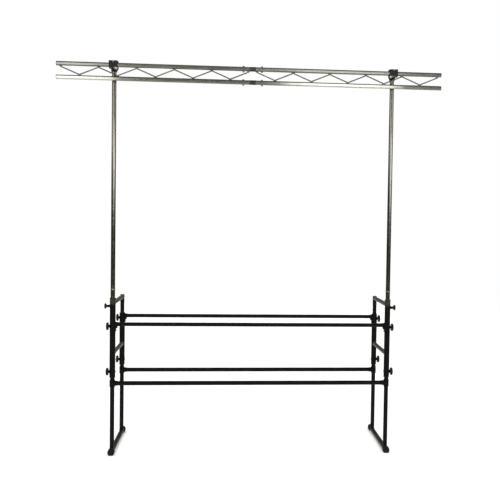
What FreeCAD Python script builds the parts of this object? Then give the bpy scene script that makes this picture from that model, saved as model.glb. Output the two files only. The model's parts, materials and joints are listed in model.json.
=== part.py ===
import FreeCAD, Part
import Sketcher
import math
import os
from FreeCAD import Vector, Rotation, Placement

# Two-tier stage rack with telescopic side frames, two tiers of cross tubes
# and an overhead two-chord truss carried on two poles.
# Frame: origin on the floor under the middle of the bounding box,
# +X to the right, +Y to the rear, +Z up.  All lengths in millimetres.

doc = FreeCAD.newDocument("StageRack")

# ---------------------------------------------------------------- sheet
dims = doc.addObject("Spreadsheet::Sheet", "dims")
rows = [
    ("side_left", "-892", "X of the left front leg axis"),
    ("side_right", "928", "X of the right front leg axis"),
    ("line_front", "-240", "Y of the front leg axes"),
    ("leg_depth", "475", "front to rear leg spacing"),
    ("foot_radius", "15", "foot tube outside radius"),
    ("foot_bore", "13", "foot tube inside radius"),
    ("foot_height", "20", "foot tube axis above the floor"),
    ("foot_fore", "50", "foot tube overhang ahead of the front leg"),
    ("foot_aft", "70", "foot tube overhang behind the rear leg"),
    ("boot_length", "43", "foot cap length"),
    ("boot_wall", "9", "foot cap end wall"),
    ("boot_half", "21", "foot cap half width"),
    ("leg_radius", "14.3", "lower leg and pole outside radius"),
    ("leg_bore", "12.7", "lower leg and pole inside radius"),
    ("leg_top", "710", "top of the lower legs"),
    ("sleeve_radius", "19.05", "sleeve outside radius"),
    ("sleeve_bore", "17.05", "sleeve inside radius"),
    ("sleeve_foot", "505", "lower end of the sleeves"),
    ("sleeve_top", "1022", "upper end of the front sleeves"),
    ("rear_top", "872", "upper end of the rear sleeves"),
    ("stub_foot", "790", "lower end of the rear stub uprights"),
    ("stub_top", "1002", "upper end of the rear stub uprights"),
    ("bush_bore", "14.75", "bore of the plastic bushes and collars"),
    ("tier_low", "464", "lower cross tube axis height"),
    ("tier_high", "853", "upper cross tube axis height"),
    ("low_bar_radius", "14.3", "lower cross tube outside radius"),
    ("low_bar_bore", "12.7", "lower cross tube inside radius"),
    ("high_bar_radius", "12.7", "upper cross tube outside radius"),
    ("high_bar_bore", "11.2", "upper cross tube inside radius"),
    ("depth_bar_radius", "14", "depth bar outside radius"),
    ("depth_bar_bore", "12.4", "depth bar inside radius"),
    ("depth_top", "989", "top depth bar axis height"),
    ("depth_mid", "657", "middle depth bar axis height"),
    ("knob_pole", "972", "pole lock knob height"),
    ("knob_high", "839", "upper tier knob height"),
    ("knob_low", "541", "height lock knob height"),
    ("stud_radius", "5", "knob stud radius"),
    ("stud_hole", "5.4", "stud hole radius"),
    ("stud_tip", "14.65", "stud tip distance from the tube axis"),
    ("pole_foot", "780", "lower end of the poles"),
    ("pole_joint", "1078", "joint ring height on the poles"),
    ("joint_ring", "8", "joint ring length"),
    ("spigot_radius", "12.6", "pole and chord spigot radius"),
    ("truss_height", "2527", "upper chord axis height"),
    ("chord_gap", "86", "upper to lower chord axis spacing"),
    ("truss_offset", "41", "chord axis ahead of the pole axis"),
    ("truss_half", "1250", "half length of the truss"),
    ("chord_radius", "14.3", "chord outside radius"),
    ("chord_bore", "12.7", "chord inside radius"),
    ("rod_radius", "4.25", "zigzag rod radius"),
    ("rod_start", "24", "first zigzag vertex from the section end"),
    ("groove_radius", "14.4", "clamp groove radius"),
    ("bolt_reach", "60", "joint bolts from the truss middle"),
]
for number, (alias, value, note) in enumerate(rows, start=1):
    dims.set("A%d" % number, alias)
    dims.set("B%d" % number, value)
    dims.set("C%d" % number, note)
    dims.setAlias("B%d" % number, alias)
doc.recompute()
val = {alias: float(value) for alias, value, note in rows}

SIDE_X = {"left": "dims.side_left", "right": "dims.side_right"}
IN = {"left": 1, "right": -1}
LINE_Y = {"front": "dims.line_front", "rear": "dims.line_front + dims.leg_depth"}

TURN = {
    "+Z": Rotation(),
    "+X": Rotation(Vector(0, 1, 0), 90),
    "-X": Rotation(Vector(0, 1, 0), -90),
    "+Y": Rotation(Vector(1, 0, 0), -90),
    "-Y": Rotation(Vector(1, 0, 0), 90),
    "-Z": Rotation(Vector(1, 0, 0), 180),
}
INWARD = {"left": "+X", "right": "-X"}
OUTWARD = {"left": "-X", "right": "+X"}

nodes = []


def put(obj, where, turn="+Z"):
    """Bind an object's base point to the sheet and set its direction."""
    rot = TURN[turn] if isinstance(turn, str) else turn
    obj.Placement = Placement(Vector(0, 0, 0), rot)
    for axis, expr in zip("xyz", where):
        obj.setExpression("Placement.Base.%s" % axis, str(expr))
    return obj


def node(obj, label):
    obj.Label = label
    nodes.append(obj)
    return obj


# ------------------------------------------------- part design helpers
def plane(body, role):
    for item in body.Origin.OriginFeatures:
        if item.Role == role:
            return item
    raise RuntimeError("no plane " + role)


def sketch(body, name, role="XY_Plane", lift=None):
    sk = body.newObject("Sketcher::SketchObject", name)
    sk.AttachmentSupport = (plane(body, role), [""])
    sk.MapMode = "FlatFace"
    if lift is not None:
        sk.setExpression("AttachmentOffset.Base.z", str(lift))
    return sk


def circle(sk, radius, start=20.0, cx=None, cy=None):
    """Circle on the sketch origin (or at cx, cy) whose radius is bound."""
    g = sk.addGeometry(Part.Circle(Vector(0 if cx is None else 1, 0 if cy is None else 1, 0),
                                   Vector(0, 0, 1), start), False)
    if cx is None and cy is None:
        sk.addConstraint(Sketcher.Constraint("Coincident", g, 3, -1, 1))
    else:
        c = sk.addConstraint(Sketcher.Constraint("DistanceX", -1, 1, g, 3, 1.0))
        sk.setExpression("Constraints[%d]" % c, str(cx))
        c = sk.addConstraint(Sketcher.Constraint("DistanceY", -1, 1, g, 3, 1.0))
        sk.setExpression("Constraints[%d]" % c, str(cy))
    c = sk.addConstraint(Sketcher.Constraint("Radius", g, start))
    sk.setExpression("Constraints[%d]" % c, str(radius))
    return g


def polygon(sk, pts):
    """Closed outline of straight lines, joined and pinned at its points."""
    n = len(pts)
    ids = []
    for i in range(n):
        a, b = pts[i], pts[(i + 1) % n]
        ids.append(sk.addGeometry(Part.LineSegment(Vector(a[0], a[1], 0), Vector(b[0], b[1], 0)), False))
    for i in range(n):
        sk.addConstraint(Sketcher.Constraint("Coincident", ids[i], 2, ids[(i + 1) % n], 1))
    return ids


def pad(body, sk, name, length, back=False):
    p = body.newObject("PartDesign::Pad", name)
    p.Profile = sk
    p.setExpression("Length", str(length))
    p.Reversed = back
    sk.Visibility = False
    return p


def tube_body(name, outer, inner, length, where, turn="+Z"):
    body = doc.addObject("PartDesign::Body", name)
    sk = sketch(body, name + "_ring")
    circle(sk, outer, 20.0)
    if inner is not None:
        circle(sk, inner, 8.0)
    pad(body, sk, name + "_pad", length)
    put(body, where, turn)
    return body


def cope(body, name, radius, spots):
    """Cut round saddles, along the body's own Y axis, for crossing tubes."""
    sk = sketch(body, name + "_saddle", "XZ_Plane")
    for spot in spots:
        circle(sk, radius, 5.0, 0, spot)
    pk = body.newObject("PartDesign::Pocket", name + "_cope")
    pk.Profile = sk
    pk.Type = "ThroughAll"
    pk.Midplane = True
    sk.Visibility = False
    return pk


def side_hole(body, name, height, radius, side):
    """Round hole through one wall only; side is the sign of X it opens to."""
    doc.recompute()
    before = body.Shape.CenterOfGravity.x
    sk = sketch(body, name + "_mark", "YZ_Plane")
    circle(sk, radius, 5.0, 0, height)
    pk = body.newObject("PartDesign::Pocket", name + "_hole")
    pk.Profile = sk
    pk.Type = "ThroughAll"
    sk.Visibility = False
    doc.recompute()
    if (body.Shape.CenterOfGravity.x - before) * side > 0:
        pk.Reversed = not pk.Reversed
        doc.recompute()
    return pk


# ------------------------------------------------- primitive helpers
def cyl(name, radius, height, where, turn="+Z"):
    c = doc.addObject("Part::Cylinder", name)
    c.setExpression("Radius", str(radius))
    c.setExpression("Height", str(height))
    return put(c, where, turn)


def box(name, sx, sy, sz, where):
    b = doc.addObject("Part::Box", name)
    b.setExpression("Length", str(sx))
    b.setExpression("Width", str(sy))
    b.setExpression("Height", str(sz))
    return put(b, where)


def fuse(name, parts):
    f = doc.addObject("Part::MultiFuse", name)
    f.Shapes = parts
    f.Refine = True
    return f


def cut(name, base, tool):
    c = doc.addObject("Part::Cut", name)
    c.Base = base
    c.Tool = tool
    return c


def group(name, parts):
    g = doc.addObject("Part::Compound", name)
    g.Links = parts
    return g


def short(side, line=""):
    return side[0].upper() + (line[0].upper() if line else "")


# ================================================================ base
for side in ("left", "right"):
    tag = short(side)
    node(tube_body("FootTube" + tag, "dims.foot_radius", "dims.foot_bore",
                   "dims.foot_fore + dims.leg_depth + dims.foot_aft",
                   (SIDE_X[side], "dims.line_front - dims.foot_fore", "dims.foot_height"), "+Y"),
         "foot_tube_" + side)

# rubber boots on the ends of the foot tubes, flat underneath
for side in ("left", "right"):
    for line in ("front", "rear"):
        tag = short(side, line)
        body = doc.addObject("PartDesign::Body", "Boot" + tag)
        sk = sketch(body, "BootOutline" + tag)
        half = val["boot_half"]
        fh = val["foot_height"]
        pts = [(-13, -fh), (13, -fh), (half, 8 - fh), (half, 3), (14, 17), (6, half), (-6, half),
               (-14, 17), (-half, 3), (-half, 8 - fh)]
        polygon(sk, pts)
        pad(body, sk, "BootPad" + tag, "dims.boot_length")
        sk2 = sketch(body, "BootBore" + tag)
        circle(sk2, "dims.foot_radius + 0.1", 10.0)
        pk = body.newObject("PartDesign::Pocket", "BootHollow" + tag)
        pk.Profile = sk2
        pk.setExpression("Length", "dims.boot_length - dims.boot_wall")
        pk.Reversed = True
        sk2.Visibility = False
        doc.recompute()
        if body.Shape.Volume > 0.8 * 42 * 41 * 46:
            pk.Reversed = False
            doc.recompute()
        # round the closed end over
        fil = body.newObject("PartDesign::Fillet", "BootRound" + tag)
        top = [i for i, f in enumerate(body.Shape.Faces, start=1)
               if abs(f.CenterOfMass.z - val["boot_length"]) < 0.01 and f.Surface.TypeId == "Part::GeomPlane"]
        fil.Base = (pk, ["Face%d" % i for i in top])
        fil.Radius = 4
        if line == "front":
            put(body, (SIDE_X[side],
                       "dims.line_front - dims.foot_fore + dims.boot_length - dims.boot_wall",
                       "dims.foot_height"), "-Y")
        else:
            put(body, (SIDE_X[side],
                       "dims.line_front + dims.leg_depth + dims.foot_aft - dims.boot_length + dims.boot_wall",
                       "dims.foot_height"),
                Rotation(Vector(0, 0, 1), 180).multiply(TURN["-Y"]))
        node(body, "foot_cap_%s_%s" % (line, side))

# lower legs, coped over the foot tubes
for side in ("left", "right"):
    for line in ("front", "rear"):
        tag = short(side, line)
        body = tube_body("Leg" + tag, "dims.leg_radius", "dims.leg_bore", "dims.leg_top - dims.foot_height",
                         (SIDE_X[side], LINE_Y[line], "dims.foot_height"))
        cope(body, "Leg" + tag, "dims.foot_radius", [0])
        node(body, "lower_leg_%s_%s" % (line, side))

# lower cross tubes and the brackets that carry them on the lower legs
for line in ("front", "rear"):
    node(tube_body("LowBar" + line.capitalize(), "dims.low_bar_radius", "dims.low_bar_bore",
                   "dims.side_right - dims.side_left - 2 * 19",
                   ("dims.side_left + 19", LINE_Y[line], "dims.tier_low"), "+X"),
         "lower_cross_" + line)

parts = []
bolts = []
for side in ("left", "right"):
    s = IN[side]
    for line in ("front", "rear"):
        tag = short(side, line)
        x, y = SIDE_X[side], LINE_Y[line]
        band = cyl("BandOut" + tag, "18", "48", (x, y, "dims.tier_low - 24"))
        cup = cyl("CupOut" + tag, "16.6", "34", (x, y, "dims.tier_low"), INWARD[side])
        back = line == "front"
        lug = box("BandLug" + tag, "20", "17", "36",
                  (x + " - 10", y + (" + 11" if back else " - 28"), "dims.tier_low - 18"))
        solid = fuse("BandSolid" + tag, [band, cup, lug])
        bore = cyl("BandBore" + tag, "dims.leg_radius + 0.1", "60", (x, y, "dims.tier_low - 30"))
        seat = cyl("CupBore" + tag, "dims.low_bar_radius + 0.1", "40",
                   (x + (" + 18.9" if s > 0 else " - 18.9"), y, "dims.tier_low"), INWARD[side])
        slit = box("BandSlit" + tag, "2.4", "18", "60",
                   (x + " - 1.2", y + (" + 12" if back else " - 30"), "dims.tier_low - 30"))
        by = y + (" + 21.5" if back else " - 21.5")
        hole = cyl("BandHole" + tag, "3.15", "19",
                   (x + (" - 11" if s > 0 else " + 11"), by, "dims.tier_low"), INWARD[side])
        tools = fuse("BandTools" + tag, [bore, seat, slit, hole])
        parts.append(cut("Bracket" + tag, solid, tools))
        shank = cyl("PinchShank" + tag, "3", "17.5", (x + (" - 10.5" if s > 0 else " + 10.5"), by,
                                                     "dims.tier_low"), INWARD[side])
        head = cyl("PinchHead" + tag, "5.8", "5", (x + (" - 15.1" if s > 0 else " + 15.1"), by,
                                                   "dims.tier_low"), INWARD[side])
        bolts.append(fuse("PinchBolt" + tag, [shank, head]))
node(group("LowerBrackets", parts), "lower_brackets")
node(group("PinchBolts", bolts), "lower_bracket_bolts")

# ========================================================= upper frame
for side in ("left", "right"):
    out = -IN[side]
    for line in ("front", "rear"):
        tag = short(side, line)
        top = "dims.sleeve_top" if line == "front" else "dims.rear_top"
        body = tube_body("Sleeve" + tag, "dims.sleeve_radius", "dims.sleeve_bore", top + " - dims.sleeve_foot",
                         (SIDE_X[side], LINE_Y[line], "dims.sleeve_foot"))
        side_hole(body, "SleeveLow" + tag, "dims.knob_low - dims.sleeve_foot", "dims.stud_hole", out)
        side_hole(body, "SleeveHigh" + tag, "dims.knob_high - dims.sleeve_foot", "dims.stud_hole", out)
        if line == "front":
            side_hole(body, "SleevePole" + tag, "dims.knob_pole - dims.sleeve_foot", "dims.stud_hole", out)
        node(body, "sleeve_%s_%s" % (line, side))

# rear stub uprights standing in the rear sleeves
parts = []
for side in ("left", "right"):
    parts.append(tube_body("Stub" + short(side), "dims.leg_radius", "dims.leg_bore",
                           "dims.stub_top - dims.stub_foot",
                           (SIDE_X[side], LINE_Y["rear"], "dims.stub_foot")))
node(group("RearStubs", parts), "rear_stubs")

# depth bars, coped to the uprights at both ends
parts = []
for side in ("left", "right"):
    body = tube_body("DepthTop" + short(side), "dims.depth_bar_radius", "dims.depth_bar_bore", "dims.leg_depth",
                     (SIDE_X[side], "dims.line_front", "dims.depth_top"), "+Y")
    cope(body, "DepthTopFront" + short(side), "dims.sleeve_radius", [0])
    cope(body, "DepthTopRear" + short(side), "dims.leg_radius", ["dims.leg_depth"])
    parts.append(body)
node(group("DepthTops", parts), "depth_bars_top")
parts = []
for side in ("left", "right"):
    body = tube_body("DepthMid" + short(side), "dims.depth_bar_radius", "dims.depth_bar_bore", "dims.leg_depth",
                     (SIDE_X[side], "dims.line_front", "dims.depth_mid"), "+Y")
    cope(body, "DepthMid" + short(side), "dims.sleeve_radius", [0, "dims.leg_depth"])
    parts.append(body)
node(group("DepthMids", parts), "depth_bars_mid")


# plastic rings: bushes in the sleeve mouths and collars round the tubes
def ring_insert(name, x, y, z, up, depth, flange_radius, bore="dims.bush_bore"):
    turn = "+Z" if up else "-Z"
    lip = cyl(name + "Lip", flange_radius, "3", (x, y, z), turn)
    plug = cyl(name + "Plug", "dims.sleeve_bore - 0.05", depth, (x, y, z), "-Z" if up else "+Z")
    solid = fuse(name + "Solid", [lip, plug])
    bore_at = (x, y, z + (" - %s - 5" % depth if up else " - 5"))
    hole = cyl(name + "Bore", bore, "%s + 20" % depth, bore_at)
    return cut(name, solid, hole)


parts = []
for side in ("left", "right"):
    for line in ("front", "rear"):
        parts.append(ring_insert("Bush" + short(side, line), SIDE_X[side], LINE_Y[line], "dims.sleeve_foot",
                                 False, "22", "19.4"))
node(group("SleeveBushes", parts), "sleeve_bushes")

parts = []
for side in ("left", "right"):
    parts.append(ring_insert("Collar" + short(side), SIDE_X[side], LINE_Y["front"], "dims.sleeve_top",
                             True, "24", "20.5"))
    parts.append(ring_insert("StubCollar" + short(side), SIDE_X[side], LINE_Y["rear"], "dims.rear_top",
                             True, "24", "20.2", "dims.leg_radius + 0.1"))
node(group("TopCollars", parts), "top_collars")

# domed plugs in the tops of the rear stubs
parts = []
for side in ("left", "right"):
    tag = short(side)
    x, y = SIDE_X[side], LINE_Y["rear"]
    cap = cyl("PlugCap" + tag, "dims.leg_radius", "3", (x, y, "dims.stub_top"))
    stem = cyl("PlugStem" + tag, "dims.leg_bore - 0.05", "16", (x, y, "dims.stub_top - 16"))
    parts.append(fuse("Plug" + tag, [cap, stem]))
node(group("StubPlugs", parts), "stub_plugs")

# upper cross tubes
for line in ("front", "rear"):
    node(tube_body("HighBar" + line.capitalize(), "dims.high_bar_radius", "dims.high_bar_bore",
                   "dims.side_right - dims.side_left - 2 * 23",
                   ("dims.side_left + 23", LINE_Y[line], "dims.tier_high"), "+X"),
         "upper_cross_" + line)

# saddle brackets on the inner side of the sleeves: shell, cup and web
parts = []
screws = []
for side in ("left", "right"):
    s = IN[side]
    for line in ("front", "rear"):
        tag = short(side, line)
        x, y = SIDE_X[side], LINE_Y[line]
        base_z = "dims.tier_high - 46"
        tall = "62"
        shell = cyl("ShellOut" + tag, "22.4", tall, (x, y, base_z))
        cup = cyl("HighCup" + tag, "15", "36", (x, y, "dims.tier_high"), INWARD[side])
        web = box("Web" + tag, "11", "5", "14",
                  (x + (" + 20" if s > 0 else " - 31"), y + " - 2.5", "dims.tier_high - 28"))
        solid = fuse("SaddleSolid" + tag, [shell, cup, web])
        bore = cyl("SaddleBore" + tag, "dims.sleeve_radius + 0.05", "90", (x, y, "dims.tier_high - 60"))
        seat = cyl("HighSeat" + tag, "dims.high_bar_radius + 0.1", "40",
                   (x + (" + 22.9" if s > 0 else " - 22.9"), y, "dims.tier_high"), INWARD[side])
        away = box("SaddleAway" + tag, "40", "60", "90",
                   (x + (" - 36" if s > 0 else " - 4"), y + " - 30", "dims.tier_high - 60"))
        hole = cyl("SaddleHole" + tag, "3.1", "40", (x, y, "dims.tier_high - 40"), INWARD[side])
        tools = fuse("SaddleTools" + tag, [bore, seat, away, hole])
        parts.append(cut("Saddle" + tag, solid, tools))
        shank = cyl("ScrewShank" + tag, "2.9", "3.3", (x + (" + 19.15" if s > 0 else " - 19.15"), y,
                                                      "dims.tier_high - 40"), INWARD[side])
        head = cyl("ScrewHead" + tag, "5.5", "4", (x + (" + 22.45" if s > 0 else " - 22.45"), y,
                                                   "dims.tier_high - 40"), INWARD[side])
        screws.append(fuse("Screw" + tag, [shank, head]))
        # retaining rivet of the lower bush, on the inner side
        shank = cyl("RivetShank" + tag, "3", "4", (x + (" + 19.1" if s > 0 else " - 19.1"), y,
                                                   "dims.knob_low"), INWARD[side])
        head = cyl("RivetHead" + tag, "6.5", "4.6", (x + (" + 19.1" if s > 0 else " - 19.1"), y,
                                                     "dims.knob_low"), INWARD[side])
        screws.append(fuse("Rivet" + tag, [shank, head]))
node(group("UpperBrackets", parts), "upper_brackets")
node(group("BracketScrews", screws), "bracket_screws")

# weld nuts that the knob studs pass through
seats = []
for side in ("left", "right"):
    seats.append((side, "front", "dims.knob_pole", "34"))
    for line in ("front", "rear"):
        seats.append((side, line, "dims.knob_high", "24"))
        seats.append((side, line, "dims.knob_low", "24"))
parts = []
for count, (side, line, height, reach) in enumerate(seats, start=1):
    name = "WeldNut%d" % count
    x, y = SIDE_X[side], LINE_Y[line]
    barrel = cyl(name + "Barrel", "9", reach, (x, y, height), OUTWARD[side])
    inner = cyl(name + "Tube", "dims.sleeve_radius", "40", (x, y, height + " - 20"))
    hole = cyl(name + "Thread", "dims.stud_hole", "60", (x, y, height), OUTWARD[side])
    tool = fuse(name + "Tool", [inner, hole])
    parts.append(cut(name, barrel, tool))
node(group("WeldNuts", parts), "weld_nuts")


# ================================================================ knobs
def knob(name, label, where, turn, stem_at, head_at, radius, thick, flutes, tip="dims.stud_tip"):
    """Fluted clamping knob on its own threaded stud, local +Z outward."""
    body = doc.addObject("PartDesign::Body", name)
    sk = sketch(body, name + "_stud_ring", lift=tip)
    circle(sk, "dims.stud_radius", 5.0)
    pad(body, sk, name + "_stud", "%s - %s + 4" % (head_at, tip))
    sk = sketch(body, name + "_stem_ring", lift=stem_at)
    circle(sk, "9", 9.0)
    pad(body, sk, name + "_stem", "%s - %s + 2" % (head_at, stem_at))
    sk = sketch(body, name + "_rim", lift=head_at)
    circle(sk, str(radius), float(radius))
    disc = pad(body, sk, name + "_head", thick)
    doc.recompute()
    edges = []
    for i, e in enumerate(body.Shape.Edges, start=1):
        c = e.Curve
        if c.TypeId == "Part::GeomCircle" and abs(c.Radius - float(radius)) < 0.01:
            edges.append("Edge%d" % i)
    fil = body.newObject("PartDesign::Fillet", name + "_round")
    fil.Base = (disc, edges)
    fil.Radius = 3.5
    doc.recompute()
    sk = sketch(body, name + "_flute_mark", lift=head_at + " - 1")
    circle(sk, "6", 6.0, str(float(radius) + 3.2), 0)
    flute = body.newObject("PartDesign::Pocket", name + "_flute")
    flute.Profile = sk
    flute.Type = "ThroughAll"
    flute.Reversed = True
    sk.Visibility = False
    doc.recompute()
    pat = body.newObject("PartDesign::PolarPattern", name + "_flutes")
    pat.Originals = [flute]
    pat.Axis = ([o for o in body.Origin.OriginFeatures if o.Role == "Z_Axis"][0], [""])
    pat.Angle = 360
    pat.Occurrences = flutes
    body.Tip = pat
    put(body, where, turn)
    doc.recompute()
    return node(body, label)


for side in ("left", "right"):
    tag = short(side)
    knob("KnobPole" + tag, "knob_pole_" + side, (SIDE_X[side], LINE_Y["front"], "dims.knob_pole"),
         OUTWARD[side], "34.5", "41", "19", "12", 6)
    for line in ("front", "rear"):
        tag = short(side, line)
        knob("KnobHigh" + tag, "knob_upper_%s_%s" % (line, side), (SIDE_X[side], LINE_Y[line], "dims.knob_high"),
             OUTWARD[side], "24.5", "26", "25.5", "15", 8)
        knob("KnobLow" + tag, "knob_lower_%s_%s" % (line, side), (SIDE_X[side], LINE_Y[line], "dims.knob_low"),
             OUTWARD[side], "24.5", "26", "25.5", "15", 8)

# =============================================================== gantry
parts = []
for side in ("left", "right"):
    parts.append(tube_body("PoleLow" + short(side), "dims.leg_radius", "dims.leg_bore",
                           "dims.pole_joint - dims.pole_foot",
                           (SIDE_X[side], LINE_Y["front"], "dims.pole_foot")))
node(group("PolesLow", parts), "poles_lower")
for side in ("left", "right"):
    node(tube_body("PoleHigh" + short(side), "dims.leg_radius", "dims.leg_bore",
                   "dims.truss_height + 14 - dims.pole_joint - dims.joint_ring",
                   (SIDE_X[side], LINE_Y["front"], "dims.pole_joint + dims.joint_ring")),
         "pole_upper_" + side)
parts = []
for side in ("left", "right"):
    tag = short(side)
    x, y = SIDE_X[side], LINE_Y["front"]
    ring = cyl("JointRing" + tag, "dims.leg_radius + 1.4", "dims.joint_ring", (x, y, "dims.pole_joint"))
    stem = cyl("JointStem" + tag, "dims.spigot_radius", "130", (x, y, "dims.pole_joint - 50"))
    solid = fuse("JointSolid" + tag, [ring, stem])
    hollow = cyl("JointHollow" + tag, "dims.spigot_radius - 2.2", "140", (x, y, "dims.pole_joint - 55"))
    parts.append(cut("PoleJoint" + tag, solid, hollow))
node(group("PoleJoints", parts), "pole_joints")

# truss clamps: rear half with the pole socket, front half, bolts
TY = "dims.line_front - dims.truss_offset"
TZ = "dims.truss_height"
fronts = []
clamp_bolts = []
for side in ("left", "right"):
    s = IN[side]
    tag = short(side)
    x, y = SIDE_X[side], "dims.line_front"
    socket = cyl("ClampSocket" + tag, "20", "58", (x, y, TZ + " - 37"))
    block = box("ClampBlock" + tag, "58", "32", "46", (x + " - 29", TY + " + 1", TZ + " - 20"))
    lobe = cyl("ClampLobe" + tag, "10", "22", (x + (" + 19" if s > 0 else " - 19"), TY + " + 1", TZ + " - 24"), "+Y")
    solid = fuse("ClampSolid" + tag, [socket, block, lobe])
    groove = cyl("ClampGroove" + tag, "dims.groove_radius", "90", (x + " - 45", TY, TZ), "+X")
    hole = cyl("ClampHole" + tag, "dims.leg_radius + 0.1", "60", (x, y, TZ + " - 45.5"))
    low = cyl("ClampLow" + tag, "4.5", "30", (x + (" + 19" if s > 0 else " - 19"), TY + " - 5", TZ + " - 24"), "+Y")
    high = cyl("ClampHigh" + tag, "3.1", "22", (x, TY + " - 5", TZ + " + 20.2"), "+Y")
    tools = fuse("ClampTools" + tag, [groove, hole, low, high])
    node(cut("Clamp" + tag, solid, tools), "truss_clamp_" + side)

    front = box("FrontBlock" + tag, "54", "20", "46", (x + " - 27", TY + " - 21", TZ + " - 20"))
    ear = cyl("FrontLobe" + tag, "10", "14", (x + (" + 19" if s > 0 else " - 19"), TY + " - 15", TZ + " - 24"), "+Y")
    solid = fuse("FrontSolid" + tag, [front, ear])
    groove = cyl("FrontGroove" + tag, "dims.groove_radius", "90", (x + " - 45", TY, TZ), "+X")
    low = cyl("FrontLow" + tag, "4.5", "40", (x + (" + 19" if s > 0 else " - 19"), TY + " - 30", TZ + " - 24"), "+Y")
    high = cyl("FrontHigh" + tag, "3.1", "40", (x, TY + " - 30", TZ + " + 20.2"), "+Y")
    tools = fuse("FrontTools" + tag, [groove, low, high])
    fronts.append(cut("ClampFront" + tag, solid, tools))

    shank = cyl("TopShank" + tag, "3", "36", (x, TY + " - 21.2", TZ + " + 20.2"), "+Y")
    head = cyl("TopHead" + tag, "5.2", "4", (x, TY + " - 25.2", TZ + " + 20.2"), "+Y")
    clamp_bolts.append(fuse("ClampBolt" + tag, [shank, head]))
node(group("ClampFronts", fronts), "clamp_fronts")
node(group("ClampBolts", clamp_bolts), "clamp_bolts")

# wing screws that pinch the clamp halves together
for side in ("left", "right"):
    s = IN[side]
    tag = short(side)
    wx = SIDE_X[side] + (" + 19" if s > 0 else " - 19")
    body = doc.addObject("PartDesign::Body", "Wing" + tag)
    sk = sketch(body, "WingStudRing" + tag, lift="-38")
    circle(sk, "4", 4.0)
    pad(body, sk, "WingStud" + tag, "40")
    sk = sketch(body, "WingHubRing" + tag)
    circle(sk, "7", 7.0)
    pad(body, sk, "WingHub" + tag, "10")
    sk = sketch(body, "WingOutline" + tag, lift="2")
    polygon(sk, [(-3, -3), (3, -3), (12, -4), (16, -1), (16, 2), (12, 4), (3, 3),
                 (-3, 3), (-12, 4), (-16, 1), (-16, -2), (-12, -4)])
    pad(body, sk, "WingBlades" + tag, "9")
    put(body, (wx, TY + " - 22", TZ + " - 24"), "-Y")
    node(body, "wing_screw_" + side)

# truss chords, in two sections that meet in the middle
for level, drop in (("upper", ""), ("lower", " - dims.chord_gap")):
    for side in ("left", "right"):
        tag = level.capitalize() + short(side)
        start = "-dims.truss_half + 3" if side == "left" else "0.2"
        node(tube_body("Chord" + tag, "dims.chord_radius", "dims.chord_bore", "dims.truss_half - 3.2",
                       (start, TY, TZ + drop), "+X"),
             "chord_%s_%s" % (level, side))


# zigzag rods: five V bends a section, bent from one rod
def zigzag(name, label, mirror):
    body = doc.addObject("PartDesign::Body", name)
    clear = val["chord_gap"] / 2 - val["chord_radius"] - val["rod_radius"] + 0.4
    first = -(val["truss_half"] - val["rod_start"])
    last = -val["rod_start"]
    step = (last - first) / 10.0
    pts = []
    for i in range(11):
        px = first + i * step
        pz = clear if i % 2 == 0 else -clear
        pts.append(Vector(px if not mirror else -px, pz, 0))
    if mirror:
        pts.reverse()
    bend = 11.0
    sk = sketch(body, name + "_path", "XZ_Plane")
    geo = []
    here = pts[0]
    for i in range(1, len(pts)):
        corner = pts[i]
        if i == len(pts) - 1:
            geo.append(Part.LineSegment(here, corner))
            break
        a = (pts[i - 1] - corner).normalize()
        b = (pts[i + 1] - corner).normalize()
        half = a.getAngle(b) / 2.0
        back = bend / math.tan(half)
        p1 = corner + a * back
        p2 = corner + b * back
        mid_dir = (a + b).normalize()
        centre = corner + mid_dir * (bend / math.sin(half))
        pm = centre - mid_dir * bend
        geo.append(Part.LineSegment(here, p1))
        geo.append(Part.Arc(p1, pm, p2))
        here = p2
    for g in geo:
        sk.addGeometry(g, False)
    doc.recompute()
    # round section square to the rod's first run
    d = (pts[1] - pts[0]).normalize()
    ring = body.newObject("Sketcher::SketchObject", name + "_section")
    ring.AttachmentSupport = (plane(body, "XY_Plane"), [""])
    ring.MapMode = "Deactivated"
    start = sk.Placement.multVec(pts[0])
    run = sk.Placement.Rotation.multVec(d)
    ring.Placement = Placement(start, Rotation(Vector(0, 0, 1), run))
    circle(ring, "dims.rod_radius", 4.0)
    doc.recompute()
    pipe = body.newObject("PartDesign::AdditivePipe", name + "_rod")
    pipe.Profile = ring
    pipe.Spine = (sk, [])
    sk.Visibility = False
    ring.Visibility = False
    put(body, ("0", TY, TZ + " - dims.chord_gap / 2"))
    doc.recompute()
    return node(body, label)


zigzag("RodLeft", "zigzag_left", False)
zigzag("RodRight", "zigzag_right", True)

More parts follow.
